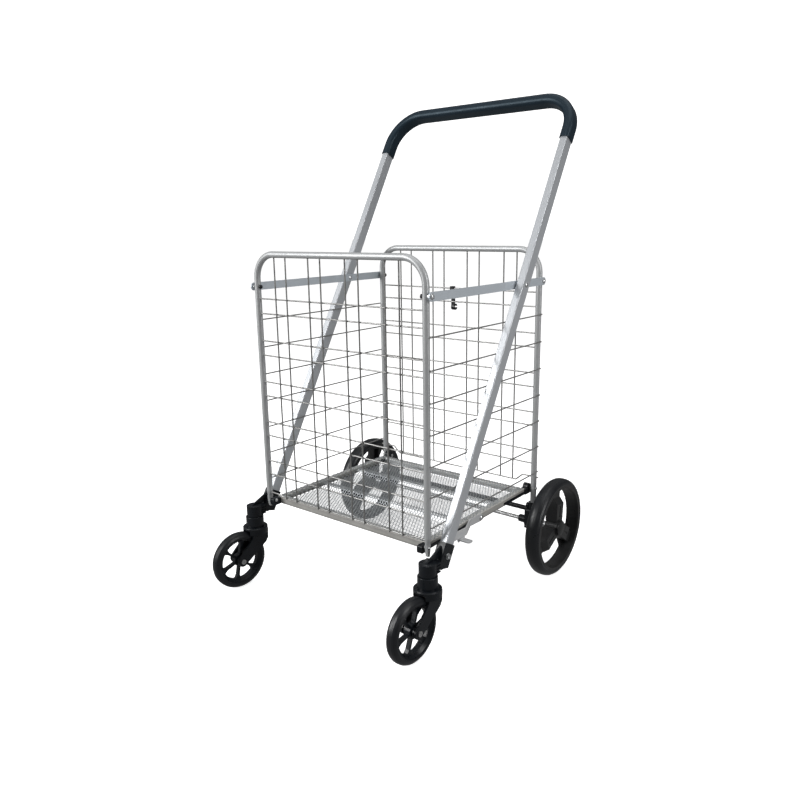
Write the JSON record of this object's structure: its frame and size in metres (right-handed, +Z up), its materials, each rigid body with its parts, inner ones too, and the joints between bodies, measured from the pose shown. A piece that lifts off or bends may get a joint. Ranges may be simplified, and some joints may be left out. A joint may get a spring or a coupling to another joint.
{
  "type": "folding shopping trolley",
  "caption": "Folding wire-basket shopping trolley with a leaning handle, swivel front casters, large rear wheels and a mesh tray floor.",
  "frame": {"origin": "centre of the bounding box, on the floor under the wheels", "axes": "+Z up; +Y towards the rear, the handle grip and the large wheels; +X to the right-hand side of someone facing the rear from the front casters"},
  "size_m": [0.5316, 0.6022, 0.9494],
  "materials": {
    "frame_paint": "silver-grey painted steel tube, satin",
    "bar_steel": "blue-grey silver painted flat bar, satin",
    "wire_steel": "plated steel wire, satin",
    "zinc_steel": "bright zinc plated",
    "axle_steel": "plain bright steel",
    "black_tube": "black painted tube, satin",
    "black_plastic": "moulded black plastic, fine grain",
    "tray_steel": "galvanised expanded-metal sheet",
    "handle_paint": "light silver painted flat-sided tube, satin",
    "arm_steel": "light silver strip, satin",
    "grip_foam": "dense charcoal foam sleeve, smooth, soft sheen",
    "tyre_rubber": "smooth dark rubber"
  },
  "bodies": {
    "rear_frame": {"rear_frame_tube": "frame_paint", "rear_grid": "wire_steel", "rear_pivot_rivets": "zinc_steel", "rear_pivot_caps": "black_plastic", "tray_rear_pins": "zinc_steel", "axle_bracket_left": "black_plastic", "axle_bracket_right": "black_plastic", "rear_axle": "axle_steel", "axle_cross_tube": "black_tube", "axle_collars": "black_plastic", "axle_spacers": "zinc_steel", "bracket_rivets": "zinc_steel", "storage_hook": "black_plastic"},
    "top_bars": {"top_bar_left": "bar_steel", "top_bar_right": "bar_steel"},
    "front_frame": {"front_frame_tube": "frame_paint", "front_grid": "wire_steel", "front_pivot_rivets": "zinc_steel", "front_pivot_caps": "black_plastic", "tray_front_pins": "zinc_steel"},
    "tray": {"tray_frame": "tray_steel", "tray_mesh": "tray_steel", "tray_front_blocks": "black_plastic", "tray_rear_blocks": "black_plastic"},
    "handle": {"handle_tube": "handle_paint", "handle_grip": "grip_foam", "handle_pivot_rivets": "zinc_steel", "caster_socket_left": "black_plastic", "caster_socket_right": "black_plastic", "socket_screws": "zinc_steel", "support_arm": "arm_steel", "arm_stud": "zinc_steel", "pedal_hinge": "zinc_steel"},
    "pedal": {"release_pedal": "arm_steel"},
    "side_wires_1": {"side_wires_1": "wire_steel"},
    "side_wires_2": {"side_wires_2": "wire_steel"},
    "side_wires_3": {"side_wires_3": "wire_steel"},
    "side_wires_4": {"side_wires_4": "wire_steel"},
    "side_wires_5": {"side_wires_5": "wire_steel"},
    "side_wires_6": {"side_wires_6": "wire_steel"},
    "side_wires_7": {"side_wires_7": "wire_steel"},
    "caster_left": {"caster_fork_left": "black_plastic", "swivel_collar_left": "black_plastic", "swivel_stem_left": "axle_steel", "caster_axle_left": "axle_steel"},
    "front_wheel_left": {"caster_rim_left": "black_plastic", "caster_tyre_left": "tyre_rubber"},
    "rear_wheel_left": {"rear_rim_left": "black_plastic", "rear_tyre_left": "tyre_rubber", "hub_cap_left": "black_plastic"},
    "caster_right": {"caster_fork_right": "black_plastic", "swivel_collar_right": "black_plastic", "swivel_stem_right": "axle_steel", "caster_axle_right": "axle_steel"},
    "front_wheel_right": {"caster_rim_right": "black_plastic", "caster_tyre_right": "tyre_rubber"},
    "rear_wheel_right": {"rear_rim_right": "black_plastic", "rear_tyre_right": "tyre_rubber", "hub_cap_right": "black_plastic"}
  },
  "joints": [
    {"name": "fold", "type": "hinge", "parent": "rear_frame", "child": "top_bars", "pos_m": [0, 0.18882, 0.595], "axis": [-1, 0, 0], "range_deg": [0, 75]},
    {"name": "front_frame_pivot", "type": "hinge", "parent": "top_bars", "child": "front_frame", "pos_m": [0, -0.17518, 0.595], "axis": [-1, 0, 0], "range_deg": [-76, 1]},
    {"name": "handle_pivot", "type": "hinge", "parent": "top_bars", "child": "handle", "pos_m": [0, 0.09082, 0.595], "axis": [-1, 0, 0], "range_deg": [-90, 1]},
    {"name": "tray_pivot", "type": "hinge", "parent": "rear_frame", "child": "tray", "pos_m": [0, 0.18882, 0.172], "axis": [-1, 0, 0], "range_deg": [-1, 76]},
    {"name": "side_wires_1_pivot", "type": "hinge", "parent": "rear_frame", "child": "side_wires_1", "pos_m": [0, 0.18882, 0.531], "axis": [-1, 0, 0], "range_deg": [-1, 76]},
    {"name": "side_wires_2_pivot", "type": "hinge", "parent": "rear_frame", "child": "side_wires_2", "pos_m": [0, 0.18882, 0.4775], "axis": [-1, 0, 0], "range_deg": [-1, 76]},
    {"name": "side_wires_3_pivot", "type": "hinge", "parent": "rear_frame", "child": "side_wires_3", "pos_m": [0, 0.18882, 0.424], "axis": [-1, 0, 0], "range_deg": [-1, 76]},
    {"name": "side_wires_4_pivot", "type": "hinge", "parent": "rear_frame", "child": "side_wires_4", "pos_m": [0, 0.18882, 0.3705], "axis": [-1, 0, 0], "range_deg": [-1, 76]},
    {"name": "side_wires_5_pivot", "type": "hinge", "parent": "rear_frame", "child": "side_wires_5", "pos_m": [0, 0.18882, 0.317], "axis": [-1, 0, 0], "range_deg": [-1, 76]},
    {"name": "side_wires_6_pivot", "type": "hinge", "parent": "rear_frame", "child": "side_wires_6", "pos_m": [0, 0.18882, 0.2635], "axis": [-1, 0, 0], "range_deg": [-1, 76]},
    {"name": "side_wires_7_pivot", "type": "hinge", "parent": "rear_frame", "child": "side_wires_7", "pos_m": [0, 0.18882, 0.21], "axis": [-1, 0, 0], "range_deg": [-1, 76]},
    {"name": "caster_left_swivel", "type": "hinge", "parent": "handle", "child": "caster_left", "pos_m": [-0.2175, -0.20218, 0.104], "axis": [0, 0, -1], "continuous": true},
    {"name": "front_wheel_left_spin", "type": "hinge", "parent": "caster_left", "child": "front_wheel_left", "pos_m": [-0.22334, -0.24377, 0.057], "axis": [0.9903, -0.1392, 0], "continuous": true},
    {"name": "rear_wheel_left_spin", "type": "hinge", "parent": "rear_frame", "child": "rear_wheel_left", "pos_m": [-0.247, 0.18882, 0.1], "axis": [1, 0, 0], "continuous": true},
    {"name": "caster_right_swivel", "type": "hinge", "parent": "handle", "child": "caster_right", "pos_m": [0.2175, -0.20218, 0.104], "axis": [0, 0, 1], "continuous": true},
    {"name": "front_wheel_right_spin", "type": "hinge", "parent": "caster_right", "child": "front_wheel_right", "pos_m": [0.21603, -0.24415, 0.057], "axis": [0.9994, -0.0349, 0], "continuous": true},
    {"name": "rear_wheel_right_spin", "type": "hinge", "parent": "rear_frame", "child": "rear_wheel_right", "pos_m": [0.247, 0.18882, 0.1], "axis": [1, 0, 0], "continuous": true},
    {"name": "pedal_press", "type": "hinge", "parent": "handle", "child": "pedal", "pos_m": [0.20975, -0.09218, 0.1622], "axis": [0, 1, 0], "range_deg": [0, 15], "stiffness_Nm_per_rad": 0.05}
  ],
  "couplings": [
    {"joint": "front_frame_pivot", "follows": "fold", "ratio": -1},
    {"joint": "handle_pivot", "follows": "fold", "ratio": -1.1867},
    {"joint": "tray_pivot", "follows": "fold", "ratio": 1},
    {"joint": "side_wires_1_pivot", "follows": "fold", "ratio": 1},
    {"joint": "side_wires_2_pivot", "follows": "fold", "ratio": 1},
    {"joint": "side_wires_3_pivot", "follows": "fold", "ratio": 1},
    {"joint": "side_wires_4_pivot", "follows": "fold", "ratio": 1},
    {"joint": "side_wires_5_pivot", "follows": "fold", "ratio": 1},
    {"joint": "side_wires_6_pivot", "follows": "fold", "ratio": 1},
    {"joint": "side_wires_7_pivot", "follows": "fold", "ratio": 1}
  ]
}
